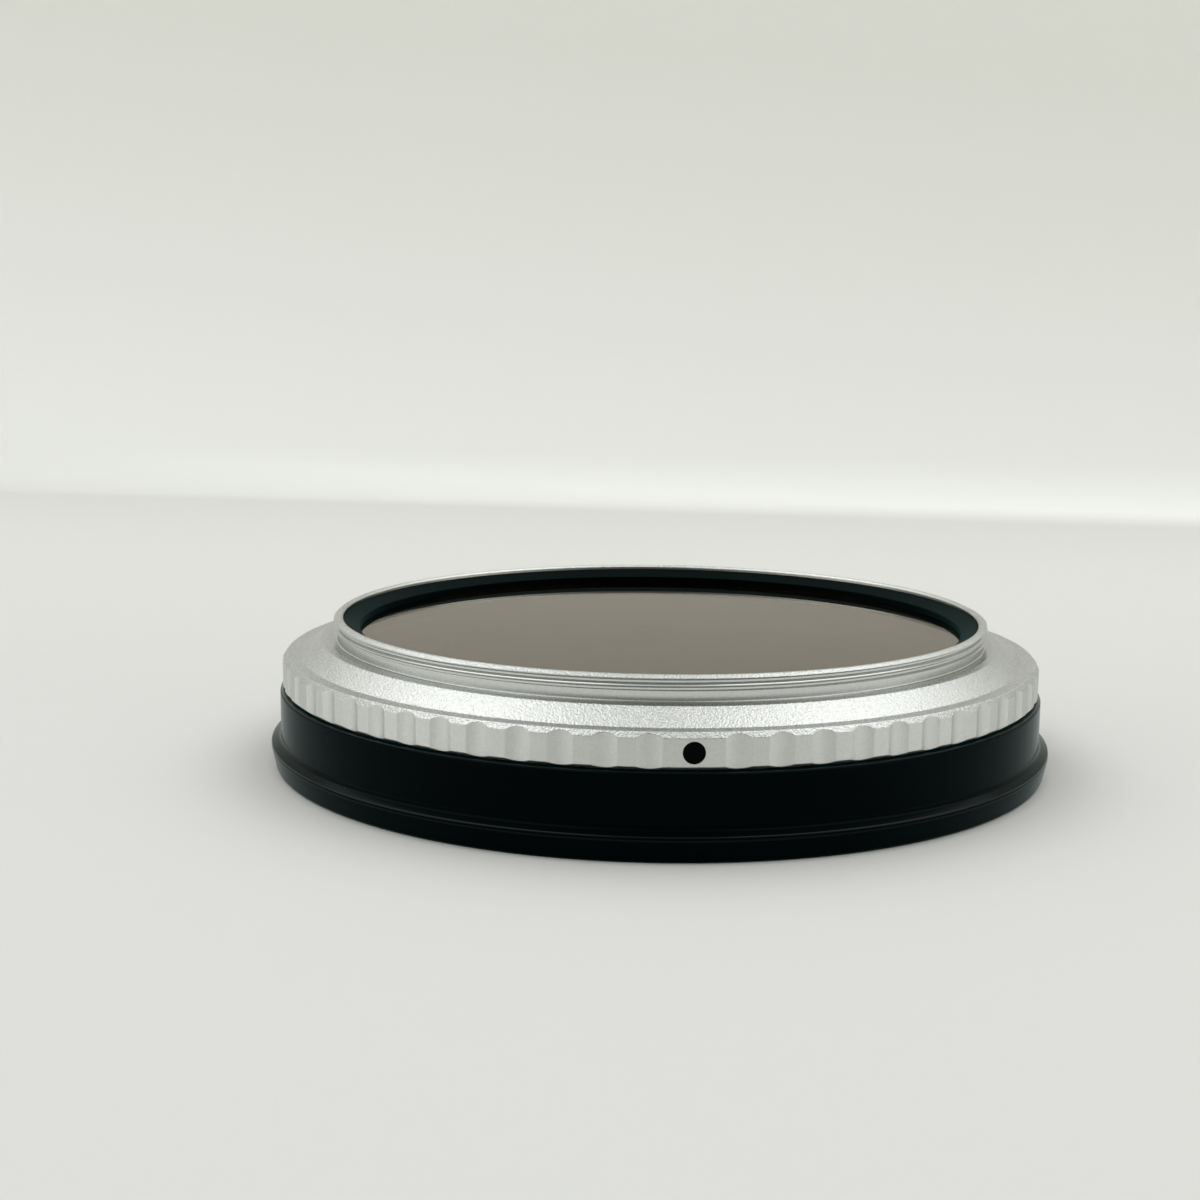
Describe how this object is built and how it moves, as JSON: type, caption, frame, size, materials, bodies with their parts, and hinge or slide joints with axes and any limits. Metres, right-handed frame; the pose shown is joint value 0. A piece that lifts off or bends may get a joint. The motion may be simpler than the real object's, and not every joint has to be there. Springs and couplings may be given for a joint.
{
  "type": "rotating screw-in lens filter",
  "caption": "Rotating screw-in lens filter: silver rear ring with lens thread, conical shoulder and scalloped grip, black flanged front ring, dark glass under bevelled retaining rings.",
  "frame": {"origin": "centre of the front face, which is the plane the filter lies on", "axes": "+Z along the optical axis towards the lens-side thread, -Y through the index dot"},
  "size_m": [0.0918, 0.0918, 0.0171],
  "materials": {
    "silver_anodised": "bead-blasted, clear anodised",
    "black_anodised": "satin black anodised",
    "filter_glass": "polished, dark brown-grey tint",
    "index_enamel": "black enamel fill",
    "spring_steel": "flat spring wire"
  },
  "bodies": {
    "rear_ring": {"rear_frame": "silver_anodised", "index_dot": "index_enamel", "rear_glass": "filter_glass", "rear_retaining_ring": "black_anodised"},
    "front_ring": {"front_frame": "black_anodised", "front_glass": "filter_glass", "front_retaining_ring": "black_anodised", "snap_ring": "spring_steel"}
  },
  "joints": [
    {"name": "front_ring_turn", "type": "hinge", "parent": "rear_ring", "child": "front_ring", "pos_m": [0, 0, 0.0075], "axis": [0, 0, 1], "continuous": true}
  ]
}
